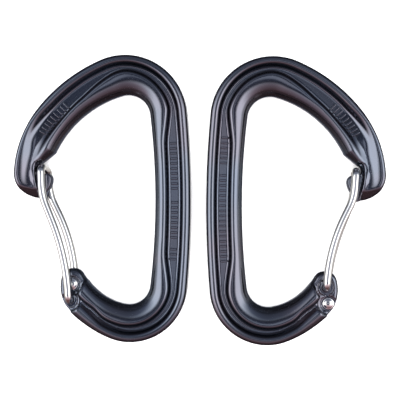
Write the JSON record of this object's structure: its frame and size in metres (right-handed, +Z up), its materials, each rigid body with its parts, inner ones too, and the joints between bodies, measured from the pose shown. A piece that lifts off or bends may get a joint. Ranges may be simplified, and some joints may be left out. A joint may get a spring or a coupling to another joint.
{
  "type": "pair of wiregate climbing carabiners",
  "caption": "Pair of forged D-shaped wiregate carabiners lying flat side by side, one turned over, with I-beam bodies and sprung bent-wire gates.",
  "frame": {"origin": "centre of the pair's footprint, on the surface it lies on", "axes": "+Z up from the surface, +Y along both long axes towards the noses' end, +X from the left carabiner to the right one"},
  "size_m": [0.1263, 0.0985, 0.0108],
  "materials": {
    "forged_body": "dark blue-black satin anodising over a hot-forged surface",
    "gate_wire": "bright drawn stainless wire"
  },
  "bodies": {
    "left_carabiner": {"left_body": "forged_body", "left_gate_spring_leg": "gate_wire"},
    "left_gate": {"left_gate": "gate_wire"},
    "right_carabiner": {"right_body": "forged_body", "right_gate_spring_leg": "gate_wire"},
    "right_gate": {"right_gate": "gate_wire"}
  },
  "joints": [
    {"name": "left_gate_hinge", "type": "hinge", "parent": "left_carabiner", "child": "left_gate", "pos_m": [-0.0442, -0.0343, 0.0054], "axis": [0, 0, -1], "range_deg": [0, 30], "stiffness_Nm_per_rad": 0.25, "springref_deg": -51.57, "deforming": ["left_gate_spring_leg"]},
    {"name": "right_lift", "type": "slide", "parent": "left_carabiner", "child": "right_carabiner", "axis": [0, 0, 1], "range_m": [0, 0.06]},
    {"name": "right_gate_hinge", "type": "hinge", "parent": "right_carabiner", "child": "right_gate", "pos_m": [0.04402, -0.03516, 0.0054], "axis": [0, 0, 1], "range_deg": [0, 30], "stiffness_Nm_per_rad": 0.25, "springref_deg": -51.57, "deforming": ["right_gate_spring_leg"]}
  ]
}
